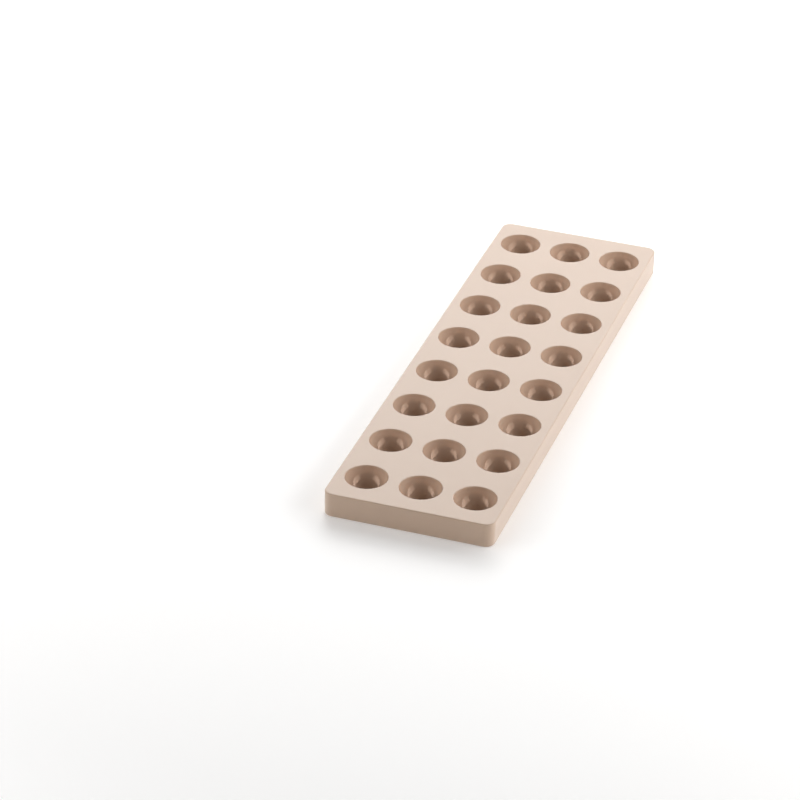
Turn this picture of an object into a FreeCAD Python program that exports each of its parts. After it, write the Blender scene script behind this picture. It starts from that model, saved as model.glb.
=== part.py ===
import FreeCAD, Part
import math
import os

# A silicone mould for half-ball chocolates: a flat deck with a grid of round cavities.
# It is one hollow moulding. The deck carries a thin cup under each cavity, and a skirt
# runs round the outside, so that from below the cups hang in an open tray.
# Origin: centre of the base. X runs across the short side, Y along the long side, Z up.
# The skirt's lower rim and the feet of the cups lie in the plane Z = 0. Lengths are in mm.

# The grid of cavities
COLUMNS = 3
ROWS = 8
CAVITY_DIAMETER = 21.6

# Flat land between neighbouring mouths, and from the outer mouths to the outside face
LAND_ACROSS = 6.5
LAND_ALONG = 15.2
SIDE_BORDER = 4.85
END_BORDER = 10.4

# Walls
DECK_THICKNESS = 2.0
CUP_WALL = 1.6
BASE_THICKNESS = 2.2
SKIRT_WALL = 2.0
FOOT_DIAMETER = 8.0

# Rounded corners and edges
CORNER_RADIUS = 5.0
DECK_EDGE_RADIUS = 0.6
LOWER_RIM_RADIUS = 0.8
LIP_RADIUS = 0.4
ROOT_RADIUS = 0.5
LEAST_RADIUS = 0.05

# How far a cutting shape runs past the face that it opens, and the size of a rounding error
OVERRUN = 1.0
TOLERANCE = 1e-4

# Worked out from the sizes above
CAVITY_RADIUS = CAVITY_DIAMETER / 2
CUP_RADIUS = CAVITY_RADIUS + CUP_WALL
FOOT_RADIUS = FOOT_DIAMETER / 2
HEIGHT = CAVITY_RADIUS + BASE_THICKNESS
UNDERSIDE = HEIGHT - DECK_THICKNESS
PITCH_ACROSS = CAVITY_DIAMETER + LAND_ACROSS
PITCH_ALONG = CAVITY_DIAMETER + LAND_ALONG
WIDTH = (COLUMNS - 1) * PITCH_ACROSS + CAVITY_DIAMETER + 2 * SIDE_BORDER
LENGTH = (ROWS - 1) * PITCH_ALONG + CAVITY_DIAMETER + 2 * END_BORDER


def point(x, z):
    """Point of a section drawn in the XZ plane."""
    return FreeCAD.Vector(x, 0, z)


def arc_about(centre, start, end):
    """The shorter arc round the centre from start to end."""
    middle = (start + end) * 0.5 - centre
    middle.normalize()
    return Part.Arc(start, centre + middle * start.distanceToPoint(centre), end).toShape()


def turned(edges):
    """Solid made by turning a closed section once round the Z axis."""
    section = Part.Face(Part.Wire(edges))
    return section.revolve(FreeCAD.Vector(), FreeCAD.Vector(0, 0, 1), 360)


def rounded_block(width, length, corner, bottom, top):
    """Upright block centred on the Z axis, with rounded vertical corners."""
    block = Part.makeBox(width, length, top - bottom, FreeCAD.Vector(-width / 2, -length / 2, bottom))
    uprights = [edge for edge in block.Edges if edge.BoundBox.ZLength > TOLERANCE]
    return block.makeFillet(corner, uprights)


def level_edges(solid, height):
    """Edges that lie flat at one height."""
    return [
        edge for edge in solid.Edges
        if edge.BoundBox.ZLength < TOLERANCE and abs(edge.BoundBox.ZMin - height) < TOLERANCE
    ]


def mouth_centres():
    """Centres of the cavity mouths, on the deck."""
    first_x = -PITCH_ACROSS * (COLUMNS - 1) / 2
    first_y = -PITCH_ALONG * (ROWS - 1) / 2
    return [
        FreeCAD.Vector(first_x + column * PITCH_ACROSS, first_y + row * PITCH_ALONG, HEIGHT)
        for row in range(ROWS)
        for column in range(COLUMNS)
    ]


def at_each_mouth(shape):
    """Copies of a shape, drawn with its mouth at the origin, one at each cavity."""
    return [shape.translated(centre) for centre in mouth_centres()]


def root_radius():
    """Radius where cups and skirt run into the deck, held to a third of the gaps between them."""
    gap_between_cups = min(LAND_ACROSS, LAND_ALONG) - 2 * CUP_WALL
    gap_to_skirt = min(SIDE_BORDER, END_BORDER) - CUP_WALL - SKIRT_WALL
    return max(LEAST_RADIUS, min(ROOT_RADIUS, gap_between_cups / 3, gap_to_skirt / 3))


def blend_centre(ball_radius, blend_radius, depth):
    """Centre of a rounding that touches a ball from outside and a level plane below its middle."""
    drop = depth + blend_radius
    return point(math.sqrt((ball_radius + blend_radius) ** 2 - drop ** 2), -drop)


def cavity_shape():
    """The hollow that takes the chocolate: a half ball with a rounded lip.

    It is drawn with its mouth at the origin, and carried on above the deck to cut it open.
    """
    ball_centre = point(0, 0)
    bottom = point(0, -CAVITY_RADIUS)
    lip_centre = blend_centre(CAVITY_RADIUS, LIP_RADIUS, 0)
    lip_start = lip_centre * (CAVITY_RADIUS / (CAVITY_RADIUS + LIP_RADIUS))
    lip_end = point(lip_centre.x, 0)
    top_side = point(lip_centre.x, OVERRUN)
    top = point(0, OVERRUN)
    return turned([
        Part.makeLine(top, bottom),
        arc_about(ball_centre, bottom, lip_start),
        arc_about(lip_centre, lip_start, lip_end),
        Part.makeLine(lip_end, top_side),
        Part.makeLine(top_side, top),
    ])


def cup_shape():
    """Outside form of one cup: a ball one wall larger than the cavity, on a round foot.

    It is drawn with its mouth at the origin, flares into the deck's underside, and its
    foot is carried on below the base to cut the space round it open.
    """
    ball_centre = point(0, 0)
    sole_centre = point(0, -HEIGHT - OVERRUN)
    sole = point(FOOT_RADIUS, -HEIGHT - OVERRUN)
    ankle = point(FOOT_RADIUS, -math.sqrt(CUP_RADIUS ** 2 - FOOT_RADIUS ** 2))
    root_centre = blend_centre(CUP_RADIUS, root_radius(), DECK_THICKNESS)
    root_start = root_centre * (CUP_RADIUS / (CUP_RADIUS + root_radius()))
    root_end = point(root_centre.x, -DECK_THICKNESS)
    top_side = point(root_centre.x, 0)
    return turned([
        Part.makeLine(ball_centre, sole_centre),
        Part.makeLine(sole_centre, sole),
        Part.makeLine(sole, ankle),
        arc_about(ball_centre, ankle, root_start),
        arc_about(root_centre, root_start, root_end),
        Part.makeLine(root_end, top_side),
        Part.makeLine(top_side, ball_centre),
    ])


def space_below():
    """The open space under the deck: the inside of the skirt, less the cups that hang in it."""
    inside = rounded_block(
        WIDTH - 2 * SKIRT_WALL,
        LENGTH - 2 * SKIRT_WALL,
        max(CORNER_RADIUS - SKIRT_WALL, 2 * ROOT_RADIUS),
        -OVERRUN,
        UNDERSIDE,
    )
    inside = inside.makeFillet(root_radius(), level_edges(inside, UNDERSIDE))
    return inside.cut(at_each_mouth(cup_shape()))


def deck_with_cavities():
    """The outside block with its rounded edges, and the cavities sunk into it from above."""
    block = rounded_block(WIDTH, LENGTH, CORNER_RADIUS, 0, HEIGHT)
    block = block.makeFillet(DECK_EDGE_RADIUS, level_edges(block, HEIGHT))
    block = block.makeFillet(LOWER_RIM_RADIUS, level_edges(block, 0))
    return block.cut(at_each_mouth(cavity_shape()))


def mould_body():
    """The whole moulding."""
    return deck_with_cavities().cut(space_below())


def main():
    os.makedirs("parts", exist_ok=True)
    solid = mould_body().Solids[0]
    solid.exportStep("parts/mould_body.step")
    box = solid.optimalBoundingBox()
    print("mould_body", solid.isValid(), round(solid.Volume), "mm3")
    print("size", round(box.XLength, 3), round(box.YLength, 3), round(box.ZLength, 3))


main()
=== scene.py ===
"""Studio scene of a silicone chocolate mould with three by eight half-ball cavities.

The mould is one moulding: a flat deck, a thin cup under each cavity and a skirt round the outside.
Geometry Nodes draw it here as one closed shell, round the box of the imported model, and it is dressed
as silicone rubber in two finishes. Lengths are in millimetres and angles in degrees, and both are
turned into Blender's units where they are handed over.
"""

import logging
import math
from dataclasses import dataclass
from enum import Enum, IntEnum
from typing import Any

import bpy
from mathutils import Matrix, Vector


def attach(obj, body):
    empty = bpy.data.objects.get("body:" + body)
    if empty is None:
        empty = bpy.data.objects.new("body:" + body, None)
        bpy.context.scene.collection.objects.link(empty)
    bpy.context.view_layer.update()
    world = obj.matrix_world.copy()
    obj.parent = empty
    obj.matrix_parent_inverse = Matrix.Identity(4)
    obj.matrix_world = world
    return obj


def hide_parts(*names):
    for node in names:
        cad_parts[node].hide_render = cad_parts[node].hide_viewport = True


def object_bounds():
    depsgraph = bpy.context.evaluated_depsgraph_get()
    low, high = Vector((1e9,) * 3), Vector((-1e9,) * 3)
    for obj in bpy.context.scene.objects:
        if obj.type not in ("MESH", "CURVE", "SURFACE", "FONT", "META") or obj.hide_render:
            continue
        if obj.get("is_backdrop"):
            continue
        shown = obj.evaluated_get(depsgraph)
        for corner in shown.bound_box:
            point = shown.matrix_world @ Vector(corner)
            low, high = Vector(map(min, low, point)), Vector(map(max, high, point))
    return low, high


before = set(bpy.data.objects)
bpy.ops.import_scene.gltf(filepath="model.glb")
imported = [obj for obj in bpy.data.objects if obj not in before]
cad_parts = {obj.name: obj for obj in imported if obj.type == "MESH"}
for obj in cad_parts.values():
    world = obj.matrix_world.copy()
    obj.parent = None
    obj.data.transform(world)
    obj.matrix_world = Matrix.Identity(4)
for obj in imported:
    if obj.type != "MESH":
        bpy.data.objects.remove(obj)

LOG = logging.getLogger("chocolate_mould")
METRES = 0.001
CAD_NODE = "mould_body"
BODY = "root"
WHITE = "FFFFFF"

# Sockets of a Mix node that mixes colours, by number
MIX_SHARE = 0
MIX_FIRST = 6
MIX_SECOND = 7
MIX_RESULT = 2

# Directions in a section, in radians: they turn from outward through down to inward
OUTWARD = 0.0
DOWN = math.pi / 2
INWARD = math.pi
UP = -math.pi / 2


class Socket(Enum):
    """Kinds of socket on the outside of a Geometry Nodes tree."""

    SHAPE = "NodeSocketGeometry"
    PLACE = "NodeSocketVector"
    NUMBER = "NodeSocketFloat"
    COUNT = "NodeSocketInt"
    FINISH = "NodeSocketMaterial"


class Corner(IntEnum):
    """Corners in the section of a cavity or a cup, numbered from the axis outward."""

    SOLE = 0
    FOOT = 1
    BALL = 2
    FLARE = 3


def add_node(
    tree: bpy.types.NodeTree,
    kind: str,
    settings: dict[str, Any] | None = None,
    inputs: dict[str | int, Any] | None = None,
) -> bpy.types.Node:
    """Adds one node to a shader or geometry tree.

    Args:
        tree: The tree that takes the node.
        kind: Blender's name for the node type.
        settings: Values for the node's own properties.
        inputs: For each input, by name or number, a value, a socket to link from, or a list of sockets.

    Returns:
        The new node.
    """
    node = tree.nodes.new(kind)
    for name, value in (settings or {}).items():
        setattr(node, name, value)
    for key, value in (inputs or {}).items():
        for source in value if isinstance(value, list) else [value]:
            if isinstance(source, bpy.types.NodeSocket):
                tree.links.new(source, node.inputs[key])
            else:
                node.inputs[key].default_value = source
    return node


def new_tree(
    name: str, inputs: dict[str, Socket], outputs: dict[str, Socket]
) -> tuple[bpy.types.NodeTree, Any]:
    """Starts a Geometry Nodes tree with named sockets.

    Args:
        name: Name of the tree.
        inputs: Name and kind of each input.
        outputs: Name and kind of each output.

    Returns:
        The tree, and the sockets on which its inputs arrive.
    """
    tree = bpy.data.node_groups.new(name, "GeometryNodeTree")
    for side, sockets in (("INPUT", inputs), ("OUTPUT", outputs)):
        for label, kind in sockets.items():
            tree.interface.new_socket(label, in_out=side, socket_type=kind.value)
    return tree, add_node(tree, "NodeGroupInput").outputs


def linear(code: str) -> tuple[float, float, float, float]:
    """Turns an sRGB hex colour into the linear colour that a shader takes.

    The numbers are those of the sRGB standard's own curve.

    Args:
        code: Six hex digits, such as "E8DCD0".

    Returns:
        Linear red, green and blue, and an alpha of 1.
    """
    channels = [int(code[i:i + 2], 16) / 255 for i in (0, 2, 4)]
    red, green, blue = (c / 12.92 if c <= 0.04045 else ((c + 0.055) / 1.055) ** 2.4 for c in channels)
    return red, green, blue, 1.0


def per_metre(size: float) -> float:
    """Gives the scale of a texture whose features are this many millimetres apart."""
    return 1 / (size * METRES)


def towards(azimuth: float, elevation: float) -> Vector:
    """Unit vector from an azimuth, from +Y towards +X, and an elevation above the floor."""
    turn, rise = math.radians(azimuth), math.radians(elevation)
    return Vector((math.sin(turn) * math.cos(rise), math.cos(turn) * math.cos(rise), math.sin(rise)))


@dataclass(frozen=True)
class SiliconeFinish:
    """Platinum silicone rubber, as one kind of face in the steel mould leaves its skin.

    Attributes:
        name: Name of the material.
        colour: Colour of the rubber, as sRGB hex.
        shade: The same rubber where it looks a little darker, as sRGB hex.
        cloud: Distance between paler and darker patches.
        cloud_layers: Finer layers of noise in those patches.
        cloud_fade: Strength of each finer layer, as a share of the last.
        smoothest: Roughness in the smoothest spots.
        roughest: Roughness in the roughest spots.
        grain: Distance between the grains that the steel left.
        grain_height: Height of those grains.
        grain_layers: Finer layers of noise in those grains.
        grain_fade: Strength of each finer layer, as a share of the last.
        relief: Strength of the bump that shows them, from 0 to 1.
        see_in: Share of the light that goes into the rubber and comes out beside.
        scatter: How far red, green and blue light spreads inside the rubber.
        refraction: Refractive index of silicone rubber.
        shine: Strength of the reflections, where 0.5 is what the refractive index gives.
        bloom: Strength of the chalky bloom, which pales the skin where it is seen at a slant.
        bloom_spread: Roughness of that bloom.
        reflection: Colour that the rubber gives to what it reflects, as sRGB hex.
    """

    name: str
    colour: str
    shade: str
    cloud: float
    smoothest: float
    roughest: float
    grain: float
    grain_height: float
    relief: float
    cloud_layers: float = 3.0
    cloud_fade: float = 0.55
    grain_layers: float = 2.0
    grain_fade: float = 0.6
    see_in: float = 0.1
    scatter: tuple[float, float, float] = (1.2, 0.75, 0.5)
    refraction: float = 1.43
    shine: float = 0.5
    bloom: float = 0.0
    bloom_spread: float = 0.5
    reflection: str = WHITE

    def make(self) -> bpy.types.Material:
        """Builds the material.

        Returns:
            The material, which reads Object coordinates.
        """
        material = bpy.data.materials.new(self.name)
        material.use_nodes = True
        tree = material.node_tree
        tree.nodes.clear()
        place = add_node(tree, "ShaderNodeTexCoord").outputs["Object"]
        patches = add_node(tree, "ShaderNodeTexNoise", inputs={
            "Vector": place, "Scale": per_metre(self.cloud),
            "Detail": self.cloud_layers, "Roughness": self.cloud_fade,
        }).outputs["Fac"]
        grains = add_node(tree, "ShaderNodeTexNoise", inputs={
            "Vector": place, "Scale": per_metre(self.grain),
            "Detail": self.grain_layers, "Roughness": self.grain_fade,
        }).outputs["Fac"]
        tint = add_node(tree, "ShaderNodeMix", {"data_type": "RGBA"}, {
            MIX_SHARE: patches, MIX_FIRST: linear(self.colour), MIX_SECOND: linear(self.shade),
        })
        gloss = add_node(tree, "ShaderNodeMapRange", inputs={
            "Value": grains, "To Min": self.smoothest, "To Max": self.roughest,
        })
        bump = add_node(tree, "ShaderNodeBump", inputs={
            "Height": grains, "Strength": self.relief, "Distance": self.grain_height * METRES,
        })
        shader = add_node(tree, "ShaderNodeBsdfPrincipled", inputs={
            "Base Color": tint.outputs[MIX_RESULT],
            "Roughness": gloss.outputs["Result"],
            "Normal": bump.outputs["Normal"],
            "IOR": self.refraction,
            "Specular IOR Level": self.shine,
            "Sheen Weight": self.bloom,
            "Sheen Roughness": self.bloom_spread,
            "Specular Tint": linear(self.reflection),
            "Subsurface Weight": self.see_in,
            "Subsurface Radius": self.scatter,
            "Subsurface Scale": METRES,
        })
        add_node(tree, "ShaderNodeOutputMaterial", inputs={"Surface": shader.outputs["BSDF"]})
        return material


# Silicone moulded on grit-blasted steel, on the deck, skirt, lips and underside: an even, chalky skin
# that spreads every reflection. Its dry bloom pales it further where it is seen at a slant.
# The blast's own grain is about 0.1 mm. It is drawn 0.4 mm apart, so that it just shows up close.
BLASTED = SiliconeFinish(
    name="platinum_silicone_blasted", colour="C3A993", shade="BEA38D", cloud=22.0,
    smoothest=0.4, roughest=0.48, grain=0.4, grain_height=0.02, relief=0.25, bloom=0.7,
)

# The same rubber moulded on polished steel, in the half balls: a smooth skin without bloom. Its
# reflections of the lights are clear, a little soft at the edges and tinted by the rubber.
# The polish's own marks are hundredths of a millimetre apart. They are drawn 1.1 mm apart, as a
# faint ripple that just shows up close.
POLISHED = SiliconeFinish(
    name="platinum_silicone_polished", colour="C7AD99", shade="C2A793", cloud=9.0,
    smoothest=0.03, roughest=0.045, grain=1.1, grain_height=0.01, relief=0.04, shine=0.85,
    reflection="FFD8BE",
)


class SectionTrees:
    """Geometry Nodes trees that draw a section from rounded corners and carry it round a path.

    A section is drawn with X outward and Y down from the deck's top. Straight stretches join the
    corners. Each point of a corner is numbered, from the corner's own place to a little above it.

    Attributes:
        order: Name of the attribute that holds those numbers.
        rise: How far the numbers rise along one corner, which is less than 1 to keep corners apart.
        flare_from: Number that parts the ball from the flare.
        corner: The tree for one rounded corner.
        ball: The tree for a ball with a flare.
        sweep: The tree that carries a section round a path.
    """

    order = "place_in_section"
    rise = 0.5
    flare_from = Corner.FLARE - rise / 2

    def __init__(self) -> None:
        """Builds each tree once."""
        self.corner = self._corner()
        self.ball = self._ball()
        self.sweep = self._sweep()

    def _corner(self) -> bpy.types.NodeTree:
        """Builds the tree that gives the points of one rounded corner of a section.

        Returns:
            The tree. Side says where the arc's centre lies from the corner, in radii. The points are
            numbered, so that a section's corners can be strung in order.
        """
        tree, given = new_tree("Rounded corner", {
            "Corner": Socket.PLACE, "Side": Socket.PLACE, "Radius": Socket.NUMBER, "From": Socket.NUMBER,
            "To": Socket.NUMBER, "Steps": Socket.COUNT, "Place": Socket.COUNT,
        }, {"Points": Socket.SHAPE})
        centre = add_node(tree, "ShaderNodeVectorMath", {"operation": "MULTIPLY_ADD"}, {
            0: given["Side"], 1: given["Radius"], 2: given["Corner"],
        })
        number = add_node(tree, "GeometryNodeInputIndex")
        share = add_node(tree, "ShaderNodeMath", {"operation": "DIVIDE"}, {
            0: number.outputs[0], 1: given["Steps"],
        })
        angle = add_node(tree, "ShaderNodeMapRange", {"clamp": False}, {
            "Value": share.outputs[0], "To Min": given["From"], "To Max": given["To"],
        })
        outward = add_node(tree, "ShaderNodeMath", {"operation": "COSINE"}, {0: angle.outputs[0]})
        down = add_node(tree, "ShaderNodeMath", {"operation": "SINE"}, {0: angle.outputs[0]})
        direction = add_node(tree, "ShaderNodeCombineXYZ", inputs={
            "X": outward.outputs[0], "Y": down.outputs[0],
        })
        spot = add_node(tree, "ShaderNodeVectorMath", {"operation": "MULTIPLY_ADD"}, {
            0: direction.outputs[0], 1: given["Radius"], 2: centre.outputs[0],
        })
        count = add_node(tree, "ShaderNodeMath", {"operation": "ADD"}, {0: given["Steps"], 1: 1.0})
        points = add_node(tree, "GeometryNodePoints", inputs={
            "Count": count.outputs[0], "Position": spot.outputs[0],
        })
        place = add_node(tree, "ShaderNodeMath", {"operation": "MULTIPLY_ADD"}, {
            0: share.outputs[0], 1: self.rise, 2: given["Place"],
        })
        numbered = add_node(tree, "GeometryNodeStoreNamedAttribute", inputs={
            "Geometry": points.outputs[0], "Name": self.order, "Value": place.outputs[0],
        })
        add_node(tree, "NodeGroupOutput", inputs={"Points": numbered.outputs[0]})
        return tree

    def _ball(self) -> bpy.types.NodeTree:
        """Builds the tree for a ball that flares into a level face.

        The ball's centre is on the axis at the deck's top. The flare touches the ball from outside and
        the level face from below.

        Returns:
            The tree. Rim Radius is where the flare reaches the level face.
        """
        tree, given = new_tree("Ball with a flare", {
            "Ball Radius": Socket.NUMBER, "Flare Radius": Socket.NUMBER, "Face Depth": Socket.NUMBER,
            "From": Socket.NUMBER, "Ball Steps": Socket.COUNT, "Flare Steps": Socket.COUNT,
        }, {"Points": Socket.SHAPE, "Rim Radius": Socket.NUMBER})
        flare = given["Flare Radius"]
        drop = add_node(tree, "ShaderNodeMath", {"operation": "ADD"}, {0: given["Face Depth"], 1: flare})
        reach = add_node(tree, "ShaderNodeMath", {"operation": "ADD"}, {0: given["Ball Radius"], 1: flare})
        less = add_node(tree, "ShaderNodeMath", {"operation": "SUBTRACT"}, {
            0: reach.outputs[0], 1: drop.outputs[0],
        })
        more = add_node(tree, "ShaderNodeMath", {"operation": "ADD"}, {
            0: reach.outputs[0], 1: drop.outputs[0],
        })
        square = add_node(tree, "ShaderNodeMath", {"operation": "MULTIPLY"}, {
            0: less.outputs[0], 1: more.outputs[0],
        })
        rim = add_node(tree, "ShaderNodeMath", {"operation": "SQRT"}, {0: square.outputs[0]})
        touch = add_node(tree, "ShaderNodeMath", {"operation": "ARCTAN2"}, {
            0: drop.outputs[0], 1: rim.outputs[0],
        })
        back = add_node(tree, "ShaderNodeMath", {"operation": "ADD"}, {0: touch.outputs[0], 1: INWARD})
        centre = add_node(tree, "ShaderNodeCombineXYZ", inputs={"X": rim.outputs[0], "Y": drop.outputs[0]})
        ball = add_node(tree, "GeometryNodeGroup", {"node_tree": self.corner}, {
            "Radius": given["Ball Radius"], "From": given["From"], "To": touch.outputs[0],
            "Steps": given["Ball Steps"], "Place": Corner.BALL,
        })
        lip = add_node(tree, "GeometryNodeGroup", {"node_tree": self.corner}, {
            "Corner": centre.outputs[0], "Radius": flare, "From": back.outputs[0], "To": UP + math.tau,
            "Steps": given["Flare Steps"], "Place": Corner.FLARE,
        })
        both = add_node(tree, "GeometryNodeJoinGeometry", inputs={
            "Geometry": [ball.outputs[0], lip.outputs[0]],
        })
        add_node(tree, "NodeGroupOutput", inputs={"Points": both.outputs[0], "Rim Radius": rim.outputs[0]})
        return tree

    def _sweep(self) -> bpy.types.NodeTree:
        """Builds the tree that strings a section and carries it round a path.

        Returns:
            The tree. Inset is how far inside the path the section's own zero lies.
        """
        tree, given = new_tree("Sweep of a section", {
            "Path": Socket.SHAPE, "Points": Socket.SHAPE, "Inset": Socket.NUMBER,
        }, {"Mesh": Socket.SHAPE})
        place = add_node(tree, "GeometryNodeInputNamedAttribute", inputs={"Name": self.order})
        section = add_node(tree, "GeometryNodePointsToCurves", inputs={
            "Points": given["Points"], "Weight": place.outputs["Attribute"],
        })
        inset = add_node(tree, "ShaderNodeVectorMath", {"operation": "SCALE"}, {
            0: (-1.0, 0.0, 0.0), "Scale": given["Inset"],
        })
        moved = add_node(tree, "GeometryNodeTransform", inputs={
            "Geometry": section.outputs[0], "Translation": inset.outputs[0],
        })
        level = add_node(tree, "GeometryNodeSetCurveNormal", {"mode": "Z_UP"}, {"Curve": given["Path"]})
        swept = add_node(tree, "GeometryNodeCurveToMesh", inputs={
            "Curve": level.outputs[0], "Profile Curve": moved.outputs[0],
        })
        add_node(tree, "NodeGroupOutput", inputs={"Mesh": swept.outputs[0]})
        return tree


@dataclass
class MouldShell:
    """The mould itself: deck, cups and skirt in one closed shell.

    Attributes:
        low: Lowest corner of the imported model, in metres.
        high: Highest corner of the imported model, in metres.
        columns: Cavities across the short side.
        rows: Cavities along the long side.
        cavity_diameter: Diameter of the half balls.
        side_border: From the outer mouths to the long outside faces.
        end_border: From the outer mouths to the short outside faces.
        deck_thickness: Thickness of the deck.
        cup_wall: Wall of the cups.
        skirt_wall: Wall of the skirt.
        foot_diameter: Diameter of the flat foot under each cup.
        corner_radius: Radius of the upright corners.
        deck_edge_radius: Rounding of the deck's edge.
        lower_rim_radius: Rounding of the skirt's outer lower edge.
        inner_rim_radius: Rounding of the skirt's inner lower edge.
        lip_radius: Rounding of the mouths.
        root_radius: Rounding where cups and skirt run into the deck.
        foot_edge_radius: Rounding of the feet.
        around: Facets round each cavity.
        name: Name of the piece.
        ball_steps: Facets from the bottom of a half ball to its lip. A cup's outside has half as many.
        edge_steps: Facets across each rounding. Those of a cup's outside have half as many.
        corner_steps: Facets round each upright corner.
        weld: Distance within which points of the shell are made one.
        level_enough: Least share of a face's normal along one axis for the face to count as flat.
        polished: Name of the attribute that marks the half balls.
    """

    low: Vector
    high: Vector
    columns: int = 3
    rows: int = 8
    cavity_diameter: float = 21.6
    side_border: float = 4.85
    end_border: float = 10.4
    deck_thickness: float = 2.0
    cup_wall: float = 1.6
    skirt_wall: float = 2.0
    foot_diameter: float = 8.0
    corner_radius: float = 5.0
    deck_edge_radius: float = 0.6
    lower_rim_radius: float = 0.8
    inner_rim_radius: float = 0.3
    lip_radius: float = 0.4
    root_radius: float = 0.5
    foot_edge_radius: float = 0.3
    around: int = 64
    name: str = "silicone_mould"
    ball_steps: int = 18
    edge_steps: int = 6
    corner_steps: int = 16
    weld: float = 0.01
    level_enough: float = 0.99999
    polished: str = "polished"

    def lengths(self) -> dict[str, float]:
        """Gives the tree's inputs that are lengths.

        Returns:
            Length by input name, in metres.
        """
        size = (self.high - self.low) / METRES
        mouths_across = size.x - 2 * self.side_border - self.cavity_diameter
        mouths_along = size.y - 2 * self.end_border - self.cavity_diameter
        lengths = {
            "Width": size.x,
            "Length": size.y,
            "Height": size.z,
            "Pitch Across": mouths_across / (self.columns - 1),
            "Pitch Along": mouths_along / (self.rows - 1),
            "Cavity Radius": self.cavity_diameter / 2,
            "Cup Wall": self.cup_wall,
            "Foot Radius": self.foot_diameter / 2,
            "Deck Thickness": self.deck_thickness,
            "Skirt Wall": self.skirt_wall,
            "Corner Radius": self.corner_radius,
            "Deck Edge Radius": self.deck_edge_radius,
            "Lower Rim Radius": self.lower_rim_radius,
            "Inner Rim Radius": self.inner_rim_radius,
            "Lip Radius": self.lip_radius,
            "Root Radius": self.root_radius,
            "Foot Edge Radius": self.foot_edge_radius,
        }
        return {name: length * METRES for name, length in lengths.items()}

    def _mouths(self, tree: bpy.types.NodeTree, given: Any) -> bpy.types.NodeSocket:
        """Adds the grid of mouth centres, on the deck.

        Args:
            tree: The mould's tree.
            given: The tree's inputs.

        Returns:
            The grid's socket.
        """
        grid = add_node(tree, "GeometryNodeMeshGrid", inputs={
            "Vertices X": given["Columns"], "Vertices Y": given["Rows"],
        })
        for count, pitch, size in (("Columns", "Pitch Across", "Size X"), ("Rows", "Pitch Along", "Size Y")):
            steps = add_node(tree, "ShaderNodeMath", {"operation": "SUBTRACT"}, {0: given[count], 1: 1.0})
            span = add_node(tree, "ShaderNodeMath", {"operation": "MULTIPLY"}, {
                0: steps.outputs[0], 1: given[pitch],
            })
            tree.links.new(span.outputs[0], grid.inputs[size])
        return grid.outputs["Mesh"]

    def _outline(self, tree: bpy.types.NodeTree, given: Any) -> bpy.types.NodeSocket:
        """Adds the mould's outline, with its rounded corners.

        Args:
            tree: The mould's tree.
            given: The tree's inputs.

        Returns:
            The outline's socket. Its normals lie level and point outward.
        """
        block = add_node(tree, "GeometryNodeCurvePrimitiveQuadrilateral", inputs={
            "Width": given["Width"], "Height": given["Length"],
        })
        rounded = add_node(tree, "GeometryNodeFilletCurve", {"mode": "POLY"}, {
            "Curve": block.outputs[0], "Count": self.corner_steps, "Radius": given["Corner Radius"],
        })
        return add_node(tree, "GeometryNodeSetCurveNormal", {"mode": "Z_UP"}, {
            "Curve": rounded.outputs[0],
        }).outputs[0]

    def _face(
        self,
        tree: bpy.types.NodeTree,
        given: Any,
        outline: bpy.types.NodeSocket,
        inset: bpy.types.NodeSocket,
        mouths: bpy.types.NodeSocket,
        rim: bpy.types.NodeSocket,
    ) -> bpy.types.NodeSocket:
        """Adds a flat face with a round hole at each mouth.

        Args:
            tree: The mould's tree.
            given: The tree's inputs.
            outline: The mould's outline.
            inset: How far inside the outline the face ends.
            mouths: The mouth centres.
            rim: Radius of the holes.

        Returns:
            The face's socket. It lies at the deck's top, and points up.
        """
        normal = add_node(tree, "GeometryNodeInputNormal")
        inward = add_node(tree, "ShaderNodeMath", {"operation": "MULTIPLY"}, {0: inset, 1: -1.0})
        offset = add_node(tree, "ShaderNodeVectorMath", {"operation": "SCALE"}, {
            0: normal.outputs["Normal"], "Scale": inward.outputs[0],
        })
        border = add_node(tree, "GeometryNodeSetPosition", inputs={
            "Geometry": outline, "Offset": offset.outputs[0],
        })
        circle = add_node(tree, "GeometryNodeCurvePrimitiveCircle", inputs={
            "Resolution": given["Around"], "Radius": rim,
        })
        holes = add_node(tree, "GeometryNodeInstanceOnPoints", inputs={
            "Points": mouths, "Instance": circle.outputs["Curve"],
        })
        curves = add_node(tree, "GeometryNodeJoinGeometry", inputs={
            "Geometry": [border.outputs[0], holes.outputs[0]],
        })
        real = add_node(tree, "GeometryNodeRealizeInstances", inputs={"Geometry": curves.outputs[0]})
        return add_node(tree, "GeometryNodeFillCurve", inputs={"Curve": real.outputs[0]}).outputs[0]

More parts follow.
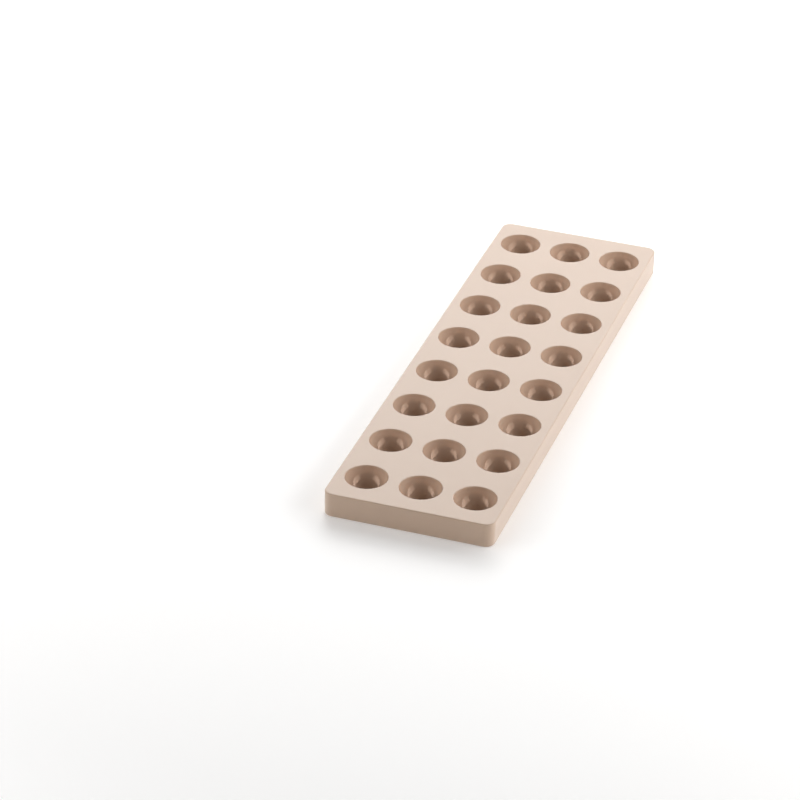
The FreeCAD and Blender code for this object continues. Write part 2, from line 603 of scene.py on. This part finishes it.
    def _cavity(
        self, tree: bpy.types.NodeTree, given: Any, sections: SectionTrees, lathe: bpy.types.NodeSocket
    ) -> tuple[bpy.types.NodeSocket, bpy.types.NodeSocket]:
        """Adds the skin of one cavity, from the bottom of the ball to the lip.

        Args:
            tree: The mould's tree.
            given: The tree's inputs.
            sections: The trees for sections.
            lathe: A circle of the cavity's radius, which the section is carried round.

        Returns:
            The skin's socket, with the ball marked as polished and the lip not, and the radius at
            which the lip ends.
        """
        section = add_node(tree, "GeometryNodeGroup", {"node_tree": sections.ball}, {
            "Ball Radius": given["Cavity Radius"], "Flare Radius": given["Lip Radius"], "From": DOWN,
            "Ball Steps": self.ball_steps, "Flare Steps": self.edge_steps,
        })
        skin = add_node(tree, "GeometryNodeGroup", {"node_tree": sections.sweep}, {
            "Path": lathe, "Points": section.outputs["Points"], "Inset": given["Cavity Radius"],
        })
        place = add_node(tree, "GeometryNodeInputNamedAttribute", inputs={"Name": sections.order})
        inside = add_node(tree, "FunctionNodeCompare", {"operation": "LESS_THAN"}, {
            0: place.outputs["Attribute"], 1: sections.flare_from,
        })
        marked = add_node(tree, "GeometryNodeStoreNamedAttribute", {
            "data_type": "BOOLEAN", "domain": "FACE",
        }, {
            "Geometry": skin.outputs[0], "Name": self.polished, "Value": inside.outputs[0],
        })
        return marked.outputs[0], section.outputs["Rim Radius"]

    def _cup(
        self, tree: bpy.types.NodeTree, given: Any, sections: SectionTrees, lathe: bpy.types.NodeSocket
    ) -> tuple[bpy.types.NodeSocket, bpy.types.NodeSocket]:
        """Adds the outside of one cup: a flat foot, the ball, and the flare into the deck.

        Args:
            tree: The mould's tree.
            given: The tree's inputs.
            sections: The trees for sections.
            lathe: A circle of the cavity's radius, which the section is carried round.

        Returns:
            The cup's socket, and the radius at which its flare ends.
        """
        radius = add_node(tree, "ShaderNodeMath", {"operation": "ADD"}, {
            0: given["Cavity Radius"], 1: given["Cup Wall"],
        })
        share = add_node(tree, "ShaderNodeMath", {"operation": "DIVIDE"}, {
            0: given["Foot Radius"], 1: radius.outputs[0],
        })
        ankle = add_node(tree, "ShaderNodeMath", {"operation": "ARCCOSINE"}, {0: share.outputs[0]})
        ball = add_node(tree, "GeometryNodeGroup", {"node_tree": sections.ball}, {
            "Ball Radius": radius.outputs[0], "Flare Radius": given["Root Radius"],
            "Face Depth": given["Deck Thickness"], "From": ankle.outputs[0],
            "Ball Steps": self.ball_steps // 2, "Flare Steps": self.edge_steps // 2,
        })
        sole = add_node(tree, "ShaderNodeCombineXYZ", inputs={"Y": given["Height"]})
        edge = add_node(tree, "ShaderNodeCombineXYZ", inputs={
            "X": given["Foot Radius"], "Y": given["Height"],
        })
        middle = add_node(tree, "GeometryNodeGroup", {"node_tree": sections.corner}, {
            "Corner": sole.outputs[0], "Place": Corner.SOLE,
        })
        foot = add_node(tree, "GeometryNodeGroup", {"node_tree": sections.corner}, {
            "Corner": edge.outputs[0], "Side": (-1.0, -1.0, 0.0), "Radius": given["Foot Edge Radius"],
            "From": DOWN, "To": OUTWARD, "Steps": self.edge_steps // 2, "Place": Corner.FOOT,
        })
        section = add_node(tree, "GeometryNodeJoinGeometry", inputs={
            "Geometry": [middle.outputs[0], foot.outputs[0], ball.outputs["Points"]],
        })
        skin = add_node(tree, "GeometryNodeGroup", {"node_tree": sections.sweep}, {
            "Path": lathe, "Points": section.outputs[0], "Inset": given["Cavity Radius"],
        })
        turned = add_node(tree, "GeometryNodeFlipFaces", inputs={"Mesh": skin.outputs[0]})
        return turned.outputs[0], ball.outputs["Rim Radius"]

    def _skirt(
        self, tree: bpy.types.NodeTree, given: Any, sections: SectionTrees, outline: bpy.types.NodeSocket
    ) -> bpy.types.NodeSocket:
        """Adds the skirt, from the deck's edge down the outside and up to the underside.

        Args:
            tree: The mould's tree.
            given: The tree's inputs.
            sections: The trees for sections.
            outline: The mould's outline.

        Returns:
            The skirt's socket.
        """
        inner = add_node(tree, "ShaderNodeMath", {"operation": "MULTIPLY"}, {
            0: given["Skirt Wall"], 1: -1.0,
        })
        # For each corner: how far out and down it is, the side of its arc's centre, its rounding, and
        # the directions from which and to which it turns
        corners = (
            (0.0, 0.0, (-1.0, 1.0, 0.0), "Deck Edge Radius", UP, OUTWARD),
            (0.0, given["Height"], (-1.0, -1.0, 0.0), "Lower Rim Radius", OUTWARD, DOWN),
            (inner.outputs[0], given["Height"], (1.0, -1.0, 0.0), "Inner Rim Radius", DOWN, INWARD),
            (inner.outputs[0], given["Deck Thickness"], (-1.0, 1.0, 0.0), "Root Radius", OUTWARD, UP),
        )
        points = []
        for place, (outward, down, side, radius, start, end) in enumerate(corners):
            corner = add_node(tree, "ShaderNodeCombineXYZ", inputs={"X": outward, "Y": down})
            points.append(add_node(tree, "GeometryNodeGroup", {"node_tree": sections.corner}, {
                "Corner": corner.outputs[0], "Side": side, "Radius": given[radius], "From": start, "To": end,
                "Steps": self.edge_steps, "Place": place,
            }).outputs[0])
        section = add_node(tree, "GeometryNodeJoinGeometry", inputs={"Geometry": points})
        return add_node(tree, "GeometryNodeGroup", {"node_tree": sections.sweep}, {
            "Path": outline, "Points": section.outputs[0],
        }).outputs[0]

    def _flat(self, tree: bpy.types.NodeTree) -> bpy.types.NodeSocket:
        """Adds the test for flat faces, which stand upright or lie level along the mould's own axes.

        Args:
            tree: The mould's tree.

        Returns:
            The test's socket.
        """
        normal = add_node(tree, "GeometryNodeInputNormal")
        size = add_node(tree, "ShaderNodeVectorMath", {"operation": "ABSOLUTE"}, {
            0: normal.outputs["Normal"],
        })
        parts = add_node(tree, "ShaderNodeSeparateXYZ", inputs={0: size.outputs[0]})
        level = add_node(tree, "ShaderNodeMath", {"operation": "MAXIMUM"}, {
            0: parts.outputs["X"], 1: parts.outputs["Y"],
        })
        most = add_node(tree, "ShaderNodeMath", {"operation": "MAXIMUM"}, {
            0: level.outputs[0], 1: parts.outputs["Z"],
        })
        return add_node(tree, "FunctionNodeCompare", {"operation": "GREATER_THAN"}, {
            0: most.outputs[0], 1: self.level_enough,
        }).outputs[0]

    def _dress(
        self, tree: bpy.types.NodeTree, given: Any, shape: bpy.types.NodeSocket
    ) -> bpy.types.NodeSocket:
        """Adds the finishes, and the flat shading of the flat faces.

        Args:
            tree: The mould's tree.
            given: The tree's inputs.
            shape: The whole shell.

        Returns:
            The dressed shell's socket.
        """
        shaded = add_node(tree, "GeometryNodeSetShadeSmooth", inputs={
            "Geometry": shape, "Selection": self._flat(tree), "Shade Smooth": False,
        })
        blasted = add_node(tree, "GeometryNodeSetMaterial", inputs={
            "Geometry": shaded.outputs[0], "Material": given["Blasted Finish"],
        })
        inside = add_node(tree, "GeometryNodeInputNamedAttribute", {"data_type": "BOOLEAN"}, {
            "Name": self.polished,
        })
        return add_node(tree, "GeometryNodeSetMaterial", inputs={
            "Geometry": blasted.outputs[0], "Selection": inside.outputs["Attribute"],
            "Material": given["Polished Finish"],
        }).outputs[0]

    def tree(self, sections: SectionTrees) -> bpy.types.NodeTree:
        """Builds the mould's tree.

        Args:
            sections: The trees for sections.

        Returns:
            The tree, with an input for each size and finish.
        """
        inputs = {"Columns": Socket.COUNT, "Rows": Socket.COUNT, "Around": Socket.COUNT}
        inputs |= {name: Socket.NUMBER for name in self.lengths()}
        inputs |= {"Blasted Finish": Socket.FINISH, "Polished Finish": Socket.FINISH}
        tree, given = new_tree("Mould shell", inputs, {"Mould": Socket.SHAPE})
        mouths = self._mouths(tree, given)
        lathe = add_node(tree, "GeometryNodeCurvePrimitiveCircle", inputs={
            "Resolution": given["Around"], "Radius": given["Cavity Radius"],
        }).outputs["Curve"]
        cavity, cavity_rim = self._cavity(tree, given, sections, lathe)
        cup, cup_rim = self._cup(tree, given, sections, lathe)
        cell = add_node(tree, "GeometryNodeJoinGeometry", inputs={"Geometry": [cavity, cup]})
        cells = add_node(tree, "GeometryNodeInstanceOnPoints", inputs={
            "Points": mouths, "Instance": cell.outputs[0],
        })
        outline = self._outline(tree, given)
        skirt = self._skirt(tree, given, sections, outline)
        top = self._face(tree, given, outline, given["Deck Edge Radius"], mouths, cavity_rim)
        inset = add_node(tree, "ShaderNodeMath", {"operation": "ADD"}, {
            0: given["Skirt Wall"], 1: given["Root Radius"],
        })
        ceiling = self._face(tree, given, outline, inset.outputs[0], mouths, cup_rim)
        turned = add_node(tree, "GeometryNodeFlipFaces", inputs={"Mesh": ceiling})
        drop = add_node(tree, "ShaderNodeVectorMath", {"operation": "SCALE"}, {
            0: (0.0, 0.0, -1.0), "Scale": given["Deck Thickness"],
        })
        underside = add_node(tree, "GeometryNodeTransform", inputs={
            "Geometry": turned.outputs[0], "Translation": drop.outputs[0],
        })
        whole = add_node(tree, "GeometryNodeJoinGeometry", inputs={
            "Geometry": [top, underside.outputs[0], skirt, cells.outputs[0]],
        })
        real = add_node(tree, "GeometryNodeRealizeInstances", inputs={"Geometry": whole.outputs[0]})
        welded = add_node(tree, "GeometryNodeMergeByDistance", inputs={
            "Geometry": real.outputs[0], "Distance": self.weld * METRES,
        })
        lift = add_node(tree, "ShaderNodeCombineXYZ", inputs={"Z": given["Height"]})
        raised = add_node(tree, "GeometryNodeTransform", inputs={
            "Geometry": welded.outputs[0], "Translation": lift.outputs[0],
        })
        add_node(tree, "NodeGroupOutput", inputs={"Mould": self._dress(tree, given, raised.outputs[0])})
        return tree

    def build(self) -> bpy.types.Object:
        """Draws the mould and dresses it.

        Returns:
            The mould, as a plain mesh at the origin.
        """
        tree = self.tree(SectionTrees())
        values: dict[str, Any] = {"Columns": self.columns, "Rows": self.rows, "Around": self.around}
        values |= self.lengths()
        values |= {"Blasted Finish": BLASTED.make(), "Polished Finish": POLISHED.make()}
        mould = bpy.data.objects.new(self.name, bpy.data.meshes.new("empty"))
        modifier = mould.modifiers.new("Mould shell", "NODES")
        modifier.node_group = tree
        for item in tree.interface.items_tree:
            if item.in_out == "INPUT":
                modifier[item.identifier] = values[item.name]
        bpy.context.scene.collection.objects.link(mould)
        ready = bpy.context.evaluated_depsgraph_get()
        mesh = bpy.data.meshes.new_from_object(mould.evaluated_get(ready), depsgraph=ready)
        mould.modifiers.remove(modifier)
        mould.data = mesh
        mesh.name = self.name
        # The tree leaves an empty slot before the two finishes
        for slot in reversed(range(len(mesh.materials))):
            if mesh.materials[slot] is None:
                mesh.materials.pop(index=slot)
        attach(mould, BODY)
        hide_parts(CAD_NODE)
        return mould


@dataclass(frozen=True)
class Softbox:
    """One diffused lamp of the studio.

    Attributes:
        name: Name of the lamp.
        azimuth: Where it stands, from +Y towards +X.
        elevation: How high it stands, seen from the mould.
        distance: How far it is from the mould.
        width: Width of its face.
        height: Height of its face.
        radiance: Brightness of its face, where 1 shows as white.
    """

    name: str
    azimuth: float
    elevation: float
    distance: float
    width: float
    height: float
    radiance: float

    def build(self, aim: Vector) -> bpy.types.Object:
        """Sets the lamp up.

        Args:
            aim: The point that it is turned to, in metres.

        Returns:
            The lamp.
        """
        data = bpy.data.lights.new(self.name, "AREA")
        data.shape = "RECTANGLE"
        data.size = self.width * METRES
        data.size_y = self.height * METRES
        # The power in watts that gives a face of this size that radiance
        data.energy = self.radiance * math.pi * data.size * data.size_y
        lamp = bpy.data.objects.new(self.name, data)
        way = towards(self.azimuth, self.elevation)
        lamp.location = aim + way * self.distance * METRES
        lamp.rotation_euler = way.to_track_quat("Z", "Y").to_euler()
        lamp.visible_camera = False
        bpy.context.scene.collection.objects.link(lamp)
        return lamp


@dataclass
class Studio:
    """A plain white floor with softboxes at both sides, behind and above, in a dark room.

    The floor is a white sheet with a painted glow of its own emission, weak round the mould and full
    further out, so that it looks white from every side and throws little light on the mould.

    Attributes:
        aim: The point that the lamps are turned to, in metres.
        floor_size: Side of the floor.
        floor_colour: Colour of the floor, as sRGB hex.
        floor_roughness: Roughness of the floor.
        floor_gap: How far it lies below the feet, so that no two faces share a plane.
        surround: Brightness of the room, as the mould gets it.
        backdrop: Brightness of the room, as the camera sees it past the floor.
        glow: Brightness that the sheet gives by itself round the mould.
        far_glow: Brightness that it gives by itself further out.
        glow_from: Distance from the mould's middle at which the glow starts to rise.
        glow_to: Distance at which it is full.
        softboxes: The lamps.
    """

    aim: Vector
    floor_size: float = 12000.0
    floor_colour: str = "F7F6F5"
    floor_roughness: float = 0.5
    floor_gap: float = 0.05
    surround: float = 0.01
    backdrop: float = 1.0
    glow: float = 0.13
    far_glow: float = 1.0
    glow_from: float = 350.0
    glow_to: float = 900.0
    softboxes: tuple[Softbox, ...] = (
        Softbox("softbox_right", azimuth=95, elevation=22, distance=900,
                width=1040, height=660, radiance=2.35),
        Softbox("softbox_right_core", azimuth=88, elevation=23, distance=880,
                width=440, height=600, radiance=1.6),
        Softbox("softbox_left", azimuth=-124, elevation=23, distance=900,
                width=1120, height=420, radiance=2.35),
        Softbox("softbox_left_core", azimuth=-121, elevation=21, distance=880,
                width=600, height=340, radiance=1.5),
        Softbox("softbox_back_low", azimuth=-18, elevation=24, distance=1600,
                width=1300, height=800, radiance=2.2),
        Softbox("softbox_back_high", azimuth=-8, elevation=50, distance=1600,
                width=1420, height=740, radiance=1.4),
        Softbox("softbox_back_right", azimuth=38, elevation=22, distance=1200,
                width=1170, height=880, radiance=1.75),
        Softbox("softbox_back_left", azimuth=-70, elevation=22, distance=700,
                width=500, height=400, radiance=1.6),
        Softbox("softbox_boom", azimuth=-18, elevation=35, distance=500,
                width=500, height=200, radiance=2.3),
        Softbox("softbox_boom_right", azimuth=60, elevation=45, distance=500,
                width=300, height=250, radiance=0.9),
    )

    def _floor(self) -> bpy.types.Object:
        """Lays the floor.

        Returns:
            The floor.
        """
        # Extruded white acrylic with a matt face: it shows soft shadows and no sharp reflection
        material = bpy.data.materials.new("white_floor_painted_glow")
        material.use_nodes = True
        tree = material.node_tree
        place = add_node(tree, "ShaderNodeTexCoord").outputs["Object"]
        # Painted glow: the floor's own emission rises from weak round the mould to full further out, in
        # place of lamp light
        away = add_node(tree, "ShaderNodeVectorMath", {"operation": "LENGTH"}, {0: place})
        glow = add_node(tree, "ShaderNodeMapRange", {"interpolation_type": "SMOOTHSTEP"}, {
            "Value": away.outputs["Value"], "From Min": self.glow_from * METRES,
            "From Max": self.glow_to * METRES, "To Min": self.glow, "To Max": self.far_glow,
        })
        shader = tree.nodes["Principled BSDF"]
        shader.inputs["Base Color"].default_value = linear(self.floor_colour)
        shader.inputs["Roughness"].default_value = self.floor_roughness
        shader.inputs["Emission Color"].default_value = linear(WHITE)
        tree.links.new(glow.outputs["Result"], shader.inputs["Emission Strength"])
        half = self.floor_size * METRES / 2
        level = -self.floor_gap * METRES
        corners = [(x, y, level) for x, y in ((-half, -half), (half, -half), (half, half), (-half, half))]
        mesh = bpy.data.meshes.new("floor")
        mesh.from_pydata(corners, [], [range(len(corners))])
        mesh.materials.append(material)
        floor = bpy.data.objects.new("floor", mesh)
        bpy.context.scene.collection.objects.link(floor)
        floor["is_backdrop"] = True
        return floor

    def _surround(self) -> None:
        """Sets the brightness of the room around."""
        world = bpy.data.worlds.new("surround")
        world.use_nodes = True
        tree = world.node_tree
        seen = add_node(tree, "ShaderNodeLightPath").outputs["Is Camera Ray"]
        strength = add_node(tree, "ShaderNodeMapRange", inputs={
            "Value": seen, "To Min": self.surround, "To Max": self.backdrop,
        })
        room = tree.nodes["Background"]
        room.inputs["Color"].default_value = linear(WHITE)
        tree.links.new(strength.outputs["Result"], room.inputs["Strength"])
        bpy.context.scene.world = world

    def build(self) -> list[bpy.types.Object]:
        """Sets up the floor, the room and the lamps, with colours shown as they are.

        Returns:
            The floor and the lamps.
        """
        floor = self._floor()
        self._surround()
        lamps = [softbox.build(self.aim) for softbox in self.softboxes]
        bpy.context.scene.view_settings.view_transform = "Standard"
        return [floor, *lamps]


@dataclass(frozen=True)
class PhotoCamera:
    """The camera, at the photograph's viewing angle.

    Attributes:
        lens: Focal length on a full-width sensor.
        sensor: Width of the sensor.
        azimuth: Way it looks, from +Y towards +X.
        elevation: How far it looks down.
        roll: How far its right side is tilted up.
        distance: From the camera to the point that it looks at.
        across: That point on the deck, from the mould's middle towards +X.
        along: That point on the deck, from the mould's middle towards +Y.
        sight: Distance up to which it sees things.
    """

    lens: float = 159.88
    sensor: float = 36.0
    azimuth: float = -18.131
    elevation: float = 30.826
    roll: float = 1.236
    distance: float = 1809.9
    across: float = -36.378
    along: float = -53.212
    sight: float = 100000.0

    def build(self, deck: float) -> bpy.types.Object:
        """Sets the camera up.

        Args:
            deck: Height of the deck, in metres.

        Returns:
            The camera.
        """
        data = bpy.data.cameras.new("camera")
        data.lens = self.lens
        data.sensor_width = self.sensor
        data.clip_end = self.sight * METRES
        view = towards(self.azimuth, -self.elevation)
        level = view.cross(Vector((0.0, 0.0, 1.0))).normalized()
        turn = Matrix.Rotation(-math.radians(self.roll), 3, view)
        right = turn @ level
        up = right.cross(view)
        target = Vector((self.across * METRES, self.along * METRES, deck))
        camera = bpy.data.objects.new("camera", data)
        camera.matrix_world = Matrix((right, up, -view)).transposed().to_4x4()
        camera.location = target - view * self.distance * METRES
        bpy.context.scene.collection.objects.link(camera)
        bpy.context.scene.camera = camera
        return camera


def main() -> None:
    """Builds the mould, the studio and the camera."""
    cad_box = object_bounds()
    low, high = cad_box
    mould = MouldShell(low, high).build()
    LOG.info("%s: %d faces in %d finishes", mould.name, len(mould.data.polygons), len(mould.data.materials))
    for thing in Studio(aim=Vector((0.0, 0.0, high.z))).build():
        LOG.info("%s: %s", thing.name, thing.type.lower())
    camera = PhotoCamera().build(high.z)
    LOG.info("%s: %.0f mm lens", camera.name, camera.data.lens)


if __name__ == "__main__":
    logging.basicConfig(level=logging.INFO)
    main()
